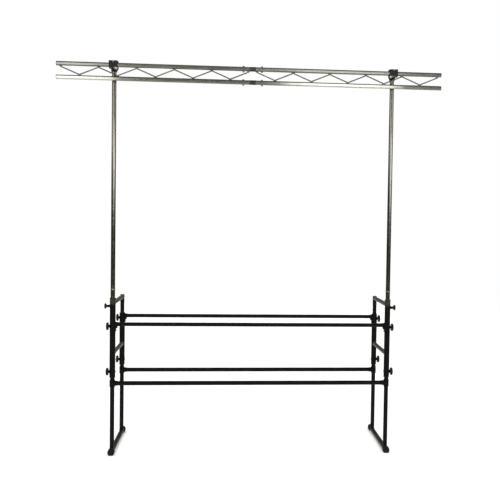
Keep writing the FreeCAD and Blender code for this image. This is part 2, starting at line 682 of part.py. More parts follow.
# spigots inside the chords at the middle joint
parts = []
collars = []
bolts = []
caps = []
for level, drop in (("Up", ""), ("Low", " - dims.chord_gap")):
    z = TZ + drop
    spig = cyl("Spigot" + level, "dims.spigot_radius", "190", ("-95", TY, z), "+X")
    bores = [cyl("SpigotHollow" + level, "dims.spigot_radius - 2.2", "200", ("-100", TY, z), "+X")]
    for number, sx in (("A", "-dims.bolt_reach"), ("B", "dims.bolt_reach")):
        bores.append(cyl("SpigotHole" + level + number, "4.1", "40", (sx, TY, z + " - 20"), "+Z"))
        shank = cyl("JointShank" + level + number, "3.9", "32", (sx, TY, z + " - 16"), "+Z")
        head = cyl("JointHead" + level + number, "6.6", "7", (sx, TY, z + " - 21.6"), "+Z")
        top = cyl("JointNut" + level + number, "6.4", "6", (sx, TY, z + " + 14.4"), "+Z")
        bolts.append(fuse("JointBolt" + level + number, [shank, head, top]))
    tool = fuse("SpigotHoles" + level, bores)
    parts.append(cut("ChordSpigot" + level, spig, tool))
    outer = cyl("MidCollarOut" + level, "15.1", "40", ("-20", TY, z), "+X")
    inner = cyl("MidCollarIn" + level, "dims.chord_radius + 0.05", "60", ("-30", TY, z), "+X")
    collars.append(cut("MidCollar" + level, outer, inner))
    for side, sx, turn in (("L", "-dims.truss_half", "+X"), ("R", "dims.truss_half", "-X")):
        lid = cyl("CapLid" + level + side, "14.9", "3", (sx, TY, z), turn)
        plug = cyl("CapPlug" + level + side, "dims.chord_bore - 0.05", "17", (sx, TY, z), turn)
        caps.append(fuse("ChordCap" + level + side, [lid, plug]))
node(group("ChordSpigots", parts), "chord_spigots")
node(group("MidCollars", collars), "joint_collars")
node(group("JointBolts", bolts), "joint_bolts")
node(group("ChordCaps", caps), "truss_end_caps")

# bolt holes through the chords at the middle joint
for level in ("Upper", "Lower"):
    for side in ("left", "right"):
        body = doc.getObject("Chord" + level + short(side))
        at = ("dims.truss_half - 3 - dims.bolt_reach" if side == "left" else "dims.bolt_reach - 0.2")
        sk = sketch(body, "ChordHoleMark" + level + short(side), "YZ_Plane")
        circle(sk, "4.1", 4.0, 0, at)
        pk = body.newObject("PartDesign::Pocket", "ChordHole" + level + short(side))
        pk.Profile = sk
        pk.Type = "ThroughAll"
        pk.Midplane = True
        sk.Visibility = False

doc.recompute()

# -------------------------------------------------------------- checks
bad = []
for obj in doc.Objects:
    if "Invalid" in obj.State or "Error" in obj.State:
        bad.append(obj.Name)
if bad:
    raise RuntimeError("features that failed: " + ", ".join(bad))
os.makedirs("parts", exist_ok=True)
if len(nodes) > 60:
    raise RuntimeError("too many nodes")
for obj in nodes:
    shape = obj.Shape
    if shape.isNull() or not shape.isValid() or not shape.Solids:
        raise RuntimeError("bad shape: " + obj.Label)
for obj in nodes:
    obj.Shape.exportStep("parts/" + obj.Label + ".step")
print(len(nodes), "nodes written")
box_all = nodes[0].Shape.BoundBox
for obj in nodes:
    box_all.add(obj.Shape.BoundBox)
print("overall", [round(v, 2) for v in (box_all.XMin, box_all.XMax, box_all.YMin, box_all.YMax,
                                        box_all.ZMin, box_all.ZMax)])
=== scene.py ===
import json
import math

import bmesh
import bpy
from mathutils import Matrix, Vector


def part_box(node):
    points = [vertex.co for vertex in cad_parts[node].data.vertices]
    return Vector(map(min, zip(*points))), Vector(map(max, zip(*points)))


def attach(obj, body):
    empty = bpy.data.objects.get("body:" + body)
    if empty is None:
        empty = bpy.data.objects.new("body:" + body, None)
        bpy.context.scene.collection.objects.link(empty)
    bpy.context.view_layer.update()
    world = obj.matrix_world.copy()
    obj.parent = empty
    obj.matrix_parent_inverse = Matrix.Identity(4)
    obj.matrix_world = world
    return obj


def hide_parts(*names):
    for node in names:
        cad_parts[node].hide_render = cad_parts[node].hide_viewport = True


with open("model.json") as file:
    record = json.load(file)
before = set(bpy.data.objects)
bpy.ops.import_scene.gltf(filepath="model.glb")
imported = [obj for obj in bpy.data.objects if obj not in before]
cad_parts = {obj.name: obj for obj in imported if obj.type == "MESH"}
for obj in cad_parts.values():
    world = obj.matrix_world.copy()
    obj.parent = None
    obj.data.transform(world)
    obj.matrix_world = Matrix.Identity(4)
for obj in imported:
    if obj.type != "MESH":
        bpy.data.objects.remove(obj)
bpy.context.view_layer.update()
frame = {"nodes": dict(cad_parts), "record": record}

NODES = frame["nodes"]
JOINTS = {j["name"]: j for j in frame["record"]["behaviour"]["joints"]}
MM = 0.001


# ------------------------------------------------------------------ helpers
def mid(node):
    lo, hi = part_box(node)
    return (Vector(lo) + Vector(hi)) / 2


def basis(axis, up=(0, 0, 1)):
    """Rotation whose local Z is the axis and whose local Y leans to up."""
    w = Vector(axis).normalized()
    u = Vector(up)
    if abs(w.dot(u.normalized())) > 0.99:
        u = Vector((0, 1, 0))
    x = u.cross(w).normalized()
    y = w.cross(x)
    m = Matrix((x, y, w)).transposed().to_4x4()
    return m


def place(origin, axis, up=(0, 0, 1)):
    return Matrix.Translation(Vector(origin)) @ basis(axis, up)


def shade(mesh, angle=35.0):
    for p in mesh.polygons:
        p.use_smooth = True
    mesh.set_sharp_from_angle(angle=math.radians(angle))


def add(name, verts, faces, matrix=None, angle=35.0):
    mesh = bpy.data.meshes.new(name)
    if matrix is not None:
        verts = [matrix @ Vector(v) for v in verts]
    mesh.from_pydata([tuple(v) for v in verts], [], faces)
    bm = bmesh.new()
    bm.from_mesh(mesh)
    bmesh.ops.remove_doubles(bm, verts=bm.verts, dist=1e-7)
    bmesh.ops.recalc_face_normals(bm, faces=bm.faces)
    bm.to_mesh(mesh)
    bm.free()
    shade(mesh, angle)
    ob = bpy.data.objects.new(name, mesh)
    bpy.context.scene.collection.objects.link(ob)
    return ob


class Build:
    """Collects closed shells so that one piece can hold several of them."""

    def __init__(self):
        self.v = []
        self.f = []

    def shell(self, verts, faces, matrix):
        n = len(self.v)
        self.v += [matrix @ Vector(v) for v in verts]
        self.f += [tuple(i + n for i in f) for f in faces]

    def done(self, name, angle=35.0):
        return add(name, self.v, self.f, None, angle)


def lathe_data(profile, segs=48, lobes=None):
    """Closed solid of revolution from an open profile [(r, z), ...] in mm that
    starts and ends on the axis or closes on itself (a ring)."""
    verts, faces = [], []
    ring_closed = profile[0][0] > 1e-6 and profile[-1][0] > 1e-6
    rows = []
    for k, (r, z) in enumerate(profile):
        if r <= 1e-6:
            rows.append([len(verts)])
            verts.append((0, 0, z * MM))
        else:
            row = []
            for i in range(segs):
                a = 2 * math.pi * i / segs
                q = r if lobes is None else lobes(r, z, a)
                row.append(len(verts))
                verts.append((q * MM * math.cos(a), q * MM * math.sin(a), z * MM))
            rows.append(row)
    pairs = list(zip(rows, rows[1:]))
    if ring_closed:
        pairs.append((rows[-1], rows[0]))
    for a, b in pairs:
        for i in range(segs):
            j = (i + 1) % segs
            if len(a) == 1 and len(b) == 1:
                continue
            if len(a) == 1:
                faces.append((a[0], b[j], b[i]))
            elif len(b) == 1:
                faces.append((a[i], a[j], b[0]))
            else:
                faces.append((a[i], a[j], b[j], b[i]))
    return verts, faces


def hexagon_data(flats, height, chamfer=0.6, base=0.0):
    """Hexagon head standing on z = base with its outer corners turned down."""
    rad = flats / 2 / math.cos(math.pi / 6)
    segs = 48
    verts, faces = [], []
    levels = [(1.0, base + 0.25), (1.0, base + height - chamfer), (0.5, base + height - chamfer * 0.35),
              (0.0, base + height)]
    rows = []

    def hexr(a):
        k = (a + math.pi / 6) % (math.pi / 3) - math.pi / 6
        return flats / 2 / math.cos(k)

    for kind, (mix, z) in enumerate([(2, base)] + levels):
        row = []
        for i in range(segs):
            a = 2 * math.pi * i / segs
            h = hexr(a)
            if mix == 2:
                q = min(h, flats / 2 * 1.08)
            elif mix == 1.0:
                q = h
            elif mix == 0.5:
                q = min(h, flats / 2 * 1.07)
            else:
                q = min(h, flats / 2 * 0.985)
            row.append(len(verts))
            verts.append((q * MM * math.cos(a), q * MM * math.sin(a), z * MM))
        rows.append(row)
    for a, b in zip(rows, rows[1:]):
        for i in range(segs):
            j = (i + 1) % segs
            faces.append((a[i], a[j], b[j], b[i]))
    faces.append(tuple(reversed(rows[0])))
    faces.append(tuple(rows[-1]))
    return verts, faces


def sweep_data(path, radius, closed=False, segs=12, ripple=0.0, waves=0.0, squash=1.0):
    """Round bead along a list of points, its ends domed."""
    n = len(path)
    verts, faces = [], []
    rows = []
    prev = None
    for k, p in enumerate(path):
        p = Vector(p)
        if closed:
            t = (Vector(path[(k + 1) % n]) - Vector(path[k - 1])).normalized()
        else:
            t = (Vector(path[min(k + 1, n - 1)]) - Vector(path[max(k - 1, 0)])).normalized()
        if prev is None:
            ref = Vector((0, 0, 1)) if abs(t.z) < 0.9 else Vector((1, 0, 0))
            side = t.cross(ref).normalized()
        else:
            side = (prev - t * prev.dot(t)).normalized()
        prev = side
        up = t.cross(side)
        r = radius * (1 + ripple * abs(math.sin(math.pi * waves * k / n)) - ripple * 0.5)
        if not closed:
            e = min(k, n - 1 - k)
            if e < 3:
                r *= (0.35, 0.7, 0.92)[e]
        row = []
        for i in range(segs):
            a = 2 * math.pi * i / segs
            q = p + (side * math.cos(a) + up * math.sin(a) * squash) * r
            row.append(len(verts))
            verts.append(tuple(q))
        rows.append(row)
    pairs = list(zip(rows, rows[1:]))
    if closed:
        pairs.append((rows[-1], rows[0]))
    for a, b in pairs:
        for i in range(segs):
            j = (i + 1) % segs
            faces.append((a[i], a[j], b[j], b[i]))
    if not closed:
        faces.append(tuple(reversed(rows[0])))
        faces.append(tuple(rows[-1]))
    return verts, faces


def saddle(origin, run, tube_axis, bar_r, tube_r, count=72, grow=0.35):
    """Closed path where a bar that leaves a tube along run meets its wall."""
    run = Vector(run).normalized()
    up = Vector(tube_axis).normalized()
    side = up.cross(run).normalized()
    out = []
    for k in range(count):
        a = 2 * math.pi * k / count
        s = (bar_r + grow) * math.cos(a)
        h = (bar_r + grow) * math.sin(a)
        d = math.sqrt(max((tube_r + grow) ** 2 - s * s, 0.0))
        out.append(Vector(origin) + (side * s + up * h + run * d) * MM)
    return out


# ---------------------------------------------------------------- materials
def tree(name):
    m = bpy.data.materials.new(name)
    m.use_nodes = True
    nt = m.node_tree
    nt.nodes.clear()
    out = nt.nodes.new("ShaderNodeOutputMaterial")
    bsdf = nt.nodes.new("ShaderNodeBsdfPrincipled")
    nt.links.new(bsdf.outputs[0], out.inputs[0])
    return m, nt, bsdf


def coords(nt, scale=(1, 1, 1)):
    tc = nt.nodes.new("ShaderNodeTexCoord")
    mp = nt.nodes.new("ShaderNodeMapping")
    mp.inputs["Scale"].default_value = scale
    nt.links.new(tc.outputs["Object"], mp.inputs["Vector"])
    return mp.outputs["Vector"]


def noise(nt, vec, scale, detail=3.0, rough=0.5, dist=0.0):
    n = nt.nodes.new("ShaderNodeTexNoise")
    n.inputs["Scale"].default_value = scale
    n.inputs["Detail"].default_value = detail
    n.inputs["Roughness"].default_value = rough
    n.inputs["Distortion"].default_value = dist
    nt.links.new(vec, n.inputs["Vector"])
    return n.outputs["Fac"]


def ramp(nt, fac, stops):
    r = nt.nodes.new("ShaderNodeValToRGB")
    cr = r.color_ramp
    while len(cr.elements) > 1:
        cr.elements.remove(cr.elements[-1])
    cr.elements[0].position = stops[0][0]
    cr.elements[0].color = (*stops[0][1], 1)
    for pos, col in stops[1:]:
        e = cr.elements.new(pos)
        e.color = (*col, 1)
    nt.links.new(fac, r.inputs["Fac"])
    return r.outputs["Color"]


def span(nt, fac, lo, hi, a=0.0, b=1.0):
    r = nt.nodes.new("ShaderNodeMapRange")
    r.inputs["From Min"].default_value = a
    r.inputs["From Max"].default_value = b
    r.inputs["To Min"].default_value = lo
    r.inputs["To Max"].default_value = hi
    nt.links.new(fac, r.inputs["Value"])
    return r.outputs["Result"]


def blend_rgb(nt, fac, a, b, mode="MIX"):
    m = nt.nodes.new("ShaderNodeMix")
    m.data_type = "RGBA"
    m.blend_type = mode
    for sock, val in ((m.inputs["A"] if False else m.inputs[6], a), (m.inputs[7], b)):
        if isinstance(val, tuple):
            sock.default_value = (*val, 1)
        else:
            nt.links.new(val, sock)
    nt.links.new(fac, m.inputs[0])
    return m.outputs[2]


def join(nt, op, a, b):
    m = nt.nodes.new("ShaderNodeMath")
    m.operation = op
    for sock, val in zip(m.inputs, (a, b)):
        if isinstance(val, (int, float)):
            sock.default_value = val
        else:
            nt.links.new(val, sock)
    return m.outputs[0]


def bump(nt, bsdf, height, strength, distance):
    b = nt.nodes.new("ShaderNodeBump")
    b.inputs["Strength"].default_value = strength
    b.inputs["Distance"].default_value = distance
    nt.links.new(height, b.inputs["Height"])
    nt.links.new(b.outputs["Normal"], bsdf.inputs["Normal"])
    return b


def edges(nt, lo, hi):
    """Mask of worn edges, from the turn of a rounded normal."""
    g = nt.nodes.new("ShaderNodeNewGeometry")
    bev = nt.nodes.new("ShaderNodeBevel")
    bev.samples = 4
    bev.inputs["Radius"].default_value = 0.0009
    d = nt.nodes.new("ShaderNodeVectorMath")
    d.operation = "DOT_PRODUCT"
    nt.links.new(g.outputs["Normal"], d.inputs[0])
    nt.links.new(bev.outputs["Normal"], d.inputs[1])
    return span(nt, join(nt, "SUBTRACT", 1.0, d.outputs["Value"]), 0.0, 1.0, lo, hi)


def powder_coat(name, tone=0.0012, warm=(1.0, 0.97, 0.93), rough=0.42, axis="z", worn=(0.011, 0.0102, 0.009),
                painted_sheen_z=None):
    """Satin black powder coat: orange peel, worn edges, faint slide marks; a height, when given, starts a painted
    brown highlight over the top of the tube.
    """
    m, nt, b = tree(name)
    v = coords(nt)
    stretch = {"z": (420, 420, 9), "x": (9, 420, 420), "y": (420, 9, 420)}[axis]
    vs = coords(nt, stretch)
    peel = noise(nt, v, 620, 2.0, 0.45)
    cloud = noise(nt, v, 7.0, 4.0, 0.6)
    fine = noise(nt, v, 55.0, 5.0, 0.62)
    streak = noise(nt, vs, 1.0, 3.0, 0.6)
    c1 = ramp(nt, cloud, [(0.3, (tone * 0.75 * warm[0], tone * 0.75 * warm[1], tone * 0.75 * warm[2])),
                          (0.7, (tone * 1.35 * warm[0], tone * 1.35 * warm[1], tone * 1.35 * warm[2]))])
    scuff = span(nt, streak, 0.0, 1.0, 0.66, 0.8)
    fines = span(nt, fine, 0.0, 1.0, 0.5, 0.72)
    scuff = join(nt, "MULTIPLY", scuff, fines)
    scuff = join(nt, "MULTIPLY", scuff, 0.5)
    c2 = blend_rgb(nt, scuff, c1, worn)
    edge = edges(nt, 0.04, 0.3)
    edge = join(nt, "MULTIPLY", edge, span(nt, fine, 0.1, 0.8, 0.42, 0.62))
    c3 = blend_rgb(nt, edge, c2, (0.03, 0.028, 0.025))
    if painted_sheen_z is not None:
        # painted highlight: from the given height up, the coat is painted lighter brown, standing in for light
        # reflected off the top of the tube
        at = nt.nodes.new("ShaderNodeTexCoord")
        up = nt.nodes.new("ShaderNodeSeparateXYZ")
        nt.links.new(at.outputs["Object"], up.inputs[0])
        rise = join(nt, "ADD", up.outputs["Z"], join(nt, "MULTIPLY", fine, 0.012))
        top = span(nt, rise, 0.0, 0.85, painted_sheen_z - 0.006, painted_sheen_z + 0.014)
        c3 = blend_rgb(nt, top, c3, (0.042, 0.036, 0.028))
    nt.links.new(c3, b.inputs["Base Color"])
    r = span(nt, cloud, rough - 0.06, rough + 0.08, 0.3, 0.7)
    r = join(nt, "ADD", r, join(nt, "MULTIPLY", scuff, 0.3))
    nt.links.new(r, b.inputs["Roughness"])
    b.inputs["Specular IOR Level"].default_value = 0.09
    b.inputs["IOR"].default_value = 1.5
    h = join(nt, "ADD", peel, join(nt, "MULTIPLY", streak, 0.25))
    bump(nt, b, h, 0.22, 0.00035)
    return m


def plated(name, axis, tone=(0.155, 0.152, 0.131), rough=0.1, painted_glare_spans=(), painted_glare_tone=(0.42, 0.41, 0.355)):
    """Bright plated tube: drawn lines along its length, hazy patches, specks.

    The listed stretches along X are painted lighter, as a painted reflection of bright lights.
    """
    m, nt, b = tree(name)
    stretch = {"z": (900, 900, 5), "x": (5, 900, 900), "y": (900, 5, 900)}[axis]
    v = coords(nt)
    vs = coords(nt, stretch)
    line = noise(nt, vs, 1.0, 2.0, 0.55)
    cloud = noise(nt, v, 5.0, 4.0, 0.6, 0.4)
    haze = noise(nt, v, 26.0, 5.0, 0.6)
    speck = noise(nt, v, 420.0, 2.0, 0.6)
    dark = tuple(c * 0.84 for c in tone)
    light = tuple(min(c * 1.12, 1.0) for c in tone)
    c1 = ramp(nt, cloud, [(0.32, dark), (0.5, tone), (0.7, light)])
    spots = span(nt, speck, 0.0, 0.5, 0.7, 0.78)
    spots = join(nt, "MULTIPLY", spots, span(nt, haze, 0.0, 1.0, 0.5, 0.65))
    c2 = blend_rgb(nt, spots, c1, (0.09, 0.075, 0.055))
    # painted reflection: each listed stretch along X is painted in a lighter tone
    for lo, hi in painted_glare_spans:
        sx = nt.nodes.new("ShaderNodeSeparateXYZ")
        nt.links.new(v, sx.inputs[0])
        along = join(nt, "ADD", sx.outputs["X"], span(nt, cloud, -0.06, 0.06, 0.35, 0.65))
        part = join(nt, "MULTIPLY", span(nt, along, 0.0, 1.0, lo - 0.08, lo + 0.08),
                    span(nt, along, 1.0, 0.0, hi - 0.08, hi + 0.08))
        c2 = blend_rgb(nt, part, c2, painted_glare_tone)
    nt.links.new(c2, b.inputs["Base Color"])
    b.inputs["Metallic"].default_value = 1.0
    r = span(nt, haze, rough - 0.03, rough + 0.06, 0.3, 0.75)
    r = join(nt, "ADD", r, span(nt, line, -0.015, 0.03, 0.3, 0.7))
    nt.links.new(r, b.inputs["Roughness"])
    bump(nt, b, line, 0.05, 0.00006)
    return m


def zinc(name):
    """Zinc plated fastener: faint yellow and blue bloom, fine turning marks."""
    m, nt, b = tree(name)
    v = coords(nt)
    cloud = noise(nt, v, 130.0, 3.0, 0.6, 0.6)
    grain = noise(nt, v, 1500.0, 2.0, 0.5)
    c = ramp(nt, cloud, [(0.3, (0.24, 0.24, 0.25)), (0.5, (0.32, 0.315, 0.28)), (0.72, (0.37, 0.35, 0.30))])
    edge = edges(nt, 0.03, 0.3)
    c = blend_rgb(nt, join(nt, "MULTIPLY", edge, 0.6), c, (0.55, 0.55, 0.53))
    nt.links.new(c, b.inputs["Base Color"])
    b.inputs["Metallic"].default_value = 1.0
    nt.links.new(span(nt, grain, 0.22, 0.42, 0.3, 0.7), b.inputs["Roughness"])
    bump(nt, b, grain, 0.12, 0.0002)
    return m


def moulded(name, tone=0.003, rough=0.5, grain=1700.0, depth=0.3):
    """Moulded black plastic with a spark-eroded grain and polished edges."""
    m, nt, b = tree(name)
    v = coords(nt)
    g = noise(nt, v, grain, 2.0, 0.55)
    cell = nt.nodes.new("ShaderNodeTexVoronoi")
    cell.inputs["Scale"].default_value = grain * 0.6
    nt.links.new(v, cell.inputs["Vector"])
    cloud = noise(nt, v, 40.0, 4.0, 0.6)
    c = ramp(nt, cloud, [(0.3, (tone * 0.8, tone * 0.8, tone * 0.82)), (0.7, (tone * 1.4, tone * 1.38, tone * 1.36))])
    edge = edges(nt, 0.03, 0.3)
    c = blend_rgb(nt, join(nt, "MULTIPLY", edge, 0.5), c, (0.022, 0.0215, 0.021))
    nt.links.new(c, b.inputs["Base Color"])
    nt.links.new(span(nt, cloud, rough - 0.08, rough + 0.08, 0.3, 0.7), b.inputs["Roughness"])
    b.inputs["Specular IOR Level"].default_value = 0.2
    h = join(nt, "ADD", g, join(nt, "MULTIPLY", cell.outputs["Distance"], 0.5))
    bump(nt, b, h, depth, 0.00025)
    return m


def rubber(name):
    """Matt rubber with mould haze and dust towards the floor."""
    m, nt, b = tree(name)
    v = coords(nt)
    g = noise(nt, v, 900.0, 3.0, 0.6)
    cloud = noise(nt, v, 32.0, 5.0, 0.65)
    tc = nt.nodes.new("ShaderNodeTexCoord")
    sep = nt.nodes.new("ShaderNodeSeparateXYZ")
    nt.links.new(tc.outputs["Object"], sep.inputs[0])
    low = span(nt, sep.outputs["Z"], 1.0, 0.0, 0.0, 0.022)
    dust = join(nt, "MULTIPLY", low, span(nt, cloud, 0.0, 0.6, 0.4, 0.65))
    c = ramp(nt, cloud, [(0.3, (0.0035, 0.0035, 0.0035)), (0.7, (0.0075, 0.0073, 0.007))])
    c = blend_rgb(nt, dust, c, (0.03, 0.028, 0.024))
    nt.links.new(c, b.inputs["Base Color"])
    nt.links.new(span(nt, cloud, 0.66, 0.86, 0.3, 0.7), b.inputs["Roughness"])
    b.inputs["Specular IOR Level"].default_value = 0.15
    bump(nt, b, g, 0.35, 0.0003)
    return m


def cast_black(name):
    """Semi-gloss enamel over a lightly pitted casting."""
    m, nt, b = tree(name)
    v = coords(nt)
    pit = noise(nt, v, 260.0, 4.0, 0.6)
    cloud = noise(nt, v, 24.0, 4.0, 0.6)
    c = ramp(nt, cloud, [(0.3, (0.0035, 0.0034, 0.003)), (0.7, (0.0075, 0.0072, 0.006))])
    edge = edges(nt, 0.03, 0.3)
    edge = join(nt, "MULTIPLY", edge, span(nt, pit, 0.0, 0.9, 0.45, 0.62))
    c = blend_rgb(nt, edge, c, (0.05, 0.048, 0.043))
    nt.links.new(c, b.inputs["Base Color"])
    nt.links.new(span(nt, cloud, 0.3, 0.44, 0.3, 0.7), b.inputs["Roughness"])
    b.inputs["Specular IOR Level"].default_value = 0.2
    bump(nt, b, pit, 0.35, 0.0004)
    return m


def weld(name, tone=0.0025):
    """Painted weld bead."""
    m, nt, b = tree(name)
    v = coords(nt)
    rip = noise(nt, v, 330.0, 3.0, 0.55)
    cloud = noise(nt, v, 45.0, 4.0, 0.6)
    nt.links.new(ramp(nt, cloud, [(0.3, (tone * 0.8,) * 3), (0.7, (tone * 1.5,) * 3)]), b.inputs["Base Color"])
    nt.links.new(span(nt, cloud, 0.36, 0.52, 0.3, 0.7), b.inputs["Roughness"])
    b.inputs["Specular IOR Level"].default_value = 0.15
    bump(nt, b, rip, 0.4, 0.0005)
    return m


def bright_weld(name):
    """Plated weld tack on the truss."""
    m, nt, b = tree(name)
    v = coords(nt)
    rip = noise(nt, v, 420.0, 3.0, 0.6)
    cloud = noise(nt, v, 120.0, 4.0, 0.6)
    nt.links.new(ramp(nt, cloud, [(0.3, (0.12, 0.115, 0.1)), (0.7, (0.2, 0.195, 0.17))]), b.inputs["Base Color"])
    b.inputs["Metallic"].default_value = 1.0
    nt.links.new(span(nt, rip, 0.26, 0.46, 0.3, 0.7), b.inputs["Roughness"])
    bump(nt, b, rip, 0.4, 0.0005)
    return m


SLEEVE_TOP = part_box("sleeve_front_left")[1][2]
MAT = {
    "coat_z": powder_coat("coat_upright", axis="z"),
    # painted highlight: the front sleeves are painted lighter brown over their top 34 mm
    "coat_sleeve": powder_coat("coat_sleeve", axis="z", painted_sheen_z=SLEEVE_TOP - 0.034),
    "coat_x": powder_coat("coat_cross", axis="x"),
    # painted reflection: the depth bars' black coat is painted lighter and warm brown all over, standing in for the
    # light their tops reflect
    "coat_y": powder_coat("coat_depth_painted_sheen", tone=0.036, warm=(1.0, 0.87, 0.72), rough=0.36, axis="y",
                          worn=(0.085, 0.074, 0.06)),
    "coat_foot": powder_coat("coat_foot", tone=0.0018, axis="y"),
    "plate_z": plated("plated_pole", "z"),
    "plate_x": plated("plated_chord", "x", tone=(0.158, 0.156, 0.137)),
    # painted reflection: two stretches of the lower chord are painted lighter where bright lights reflect
    "plate_low": plated("plated_lower_chord_painted_glare", "x", tone=(0.158, 0.156, 0.137), painted_glare_spans=((-1.4, -0.86), (0.27, 0.98))),
    "plate_collar": plated("plated_collar", "x", tone=(0.045, 0.044, 0.037), rough=0.26),
    "plate_rod": plated("plated_rod", "x", tone=(0.15, 0.147, 0.127), rough=0.2),
    "plate_ring": plated("plated_ring", "z", tone=(0.24, 0.235, 0.2), rough=0.22),
    "zinc": zinc("zinc_fastener"),
    "knob": moulded("knob_plastic"),
    "plug": moulded("plug_plastic", tone=0.003, rough=0.42, grain=1100.0, depth=0.2),
    "rubber": rubber("boot_rubber"),
    "cast": cast_black("clamp_casting"),
    "weld": weld("painted_weld"),
    "tack": bright_weld("plated_tack"),
}


def dress(ob, key):
    ob.data.materials.clear()
    ob.data.materials.append(MAT[key])


def dress_node(node, key):
    ob = NODES[node]
    if not ob.material_slots:
        ob.data.materials.append(MAT[key])
    for s in ob.material_slots:
        s.material = MAT[key]


def soften(node, width, segments=2, angle=40.0):
    """Worn, rounded edges on a CAD node."""
    ob = NODES[node]
    b = ob.modifiers.new("edge", "BEVEL")
    b.width = width * MM
    b.segments = segments
    b.limit_method = "ANGLE"
    b.angle_limit = math.radians(angle)
    b.harden_normals = False
    return b


def piece(ob, body, key, replaces=()):
    dress(ob, key)
    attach(ob, body)
    if replaces:
        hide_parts(*replaces)
    return ob


for node in NODES:
    if node.startswith("chord_upper"):
        dress_node(node, "plate_x")
    elif node.startswith("chord_lower"):
        dress_node(node, "plate_low")
    elif node.startswith("zigzag"):
        dress_node(node, "plate_rod")
    elif node.startswith(("pole_", "poles_")):
        dress_node(node, "plate_z")
    elif node.startswith(("lower_cross", "upper_cross", "lower_brackets", "upper_brackets", "weld_nuts")):
        dress_node(node, "coat_x")
    elif node.startswith("depth_bars"):
        dress_node(node, "coat_y")
    elif node.startswith("foot_tube"):
        dress_node(node, "coat_foot")
    elif node.startswith("sleeve_front"):
        dress_node(node, "coat_sleeve")
    elif node.startswith(("sleeve_rear", "lower_leg", "rear_stubs")):
        dress_node(node, "coat_z")
    elif node.startswith(("truss_clamp", "clamp_fronts", "joint_collars")):
        dress_node(node, "cast")
    elif node.startswith(("sleeve_bushes", "top_collars", "stub_plugs", "truss_end_caps", "knob")):
        dress_node(node, "plug")
    elif node.startswith("foot_cap"):
        dress_node(node, "rubber")
    else:
        dress_node(node, "zinc")

BODY = {}
for body, nodes in frame["record"]["behaviour"]["bodies"].items():
    for n in nodes:
        BODY[n] = body

# frame lines read from the nodes
LEG = {}
for side in ("left", "right"):
    for line in ("front", "rear"):
        c = mid("lower_leg_%s_%s" % (line, side))
        LEG[(line, side)] = Vector((c.x, c.y, 0))
OUT = {"left": Vector((-1, 0, 0)), "right": Vector((1, 0, 0))}


# ------------------------------------------------------------------- knobs
def knob_lobes(outer, depth, count, hold):
    def f(r, z, a):
        if r < hold:
            return r
        k = min((r - hold) / (outer - hold), 1.0)
        w = 0.5 - 0.5 * math.cos(count * a)
        w = w ** 2.2
        return r - depth * k * w
    return f


def knob_piece(node, joint, small):
    j = JOINTS[joint]
    side = "left" if node.endswith("left") else "right"
    origin = Vector((LEG[("front", side)].x, j["pos_m"][1], j["pos_m"][2]))
    b = Build()
    m = place(origin, OUT[side])
    if small:
        head, outer, top, count, stem = 41.0, 18.9, 53.0, 6, 34.6
    else:
        head, outer, top, count, stem = 26.0, 25.4, 41.0, 8, 24.6
    mid_r = outer * 0.62
    prof = [(0, head + 1.2), (7.5, head + 1.2), (9.2, head + 0.6), (mid_r, head + 0.5), (outer - 3.4, head + 0.15),
            (outer - 1.6, head + 0.7), (outer - 0.4, head + 2.2), (outer, head + 4.2), (outer, top - 5.2),
            (outer - 0.35, top - 3.3), (outer - 1.3, top - 1.7), (outer - 2.9, top - 0.65), (outer - 4.6, top - 0.2),
            (mid_r + 1.6, top - 0.1), (mid_r + 0.7, top - 0.3), (mid_r, top - 1.3), (mid_r - 0.9, top - 1.5),
            (mid_r - 3.0, top - 1.5), (mid_r - 3.5, top - 1.2), (mid_r - 4.2, top - 0.7), (mid_r * 0.3, top - 0.25),
            (0, top - 0.2)]
    fine = []
    for p, q in zip(prof, prof[1:]):
        fine.append(p)
        if abs(q[1] - p[1]) > 3.0:
            for t in (0.33, 0.66):
                fine.append((p[0] + (q[0] - p[0]) * t, p[1] + (q[1] - p[1]) * t))
    fine.append(prof[-1])
    b.shell(*lathe_data(fine, 160, knob_lobes(outer, 2.7 if not small else 2.2, count, mid_r + 1.8)), m)
    # moulded neck with a shoulder, standing off the weld nut
    b.shell(*lathe_data([(0, head + 1.4), (9.0, head + 1.4), (9.0, stem + 1.0), (8.4, stem + 0.3), (6.0, stem),
                         (0, stem)], 48), m)
    head_ob = b.done(node + "_grip", 30)
    piece(head_ob, BODY[node], "knob", [node])
    # threaded stud: turned thread form, chamfered tip
    tip = 14.65
    prof = [(0, tip), (3.9, tip), (4.3, tip + 0.5)]
    z = tip + 0.9
    while z < stem - 0.6:
        prof += [(4.95, z), (4.95, z + 0.18), (4.25, z + 0.72), (4.25, z + 0.84)]
        z += 1.5
    prof += [(4.95, stem), (4.95, head + 2), (0, head + 2)]
    s = Build()
    s.shell(*lathe_data(prof, 32), m)
    if small:
        # bright washer under the small pole knob
        s.shell(*lathe_data([(5.5, stem - 0.05), (9.6, stem - 0.05), (9.8, stem - 0.25), (9.6, stem - 0.5),
                             (5.5, stem - 0.5)], 40), m)
    piece(s.done(node + "_stud", 40), BODY[node], "zinc")


for name, j in JOINTS.items():
    node = name[:-5] if name.endswith("_turn") else None
    if node and node.startswith("knob"):
        knob_piece(node, name, node.startswith("knob_pole"))


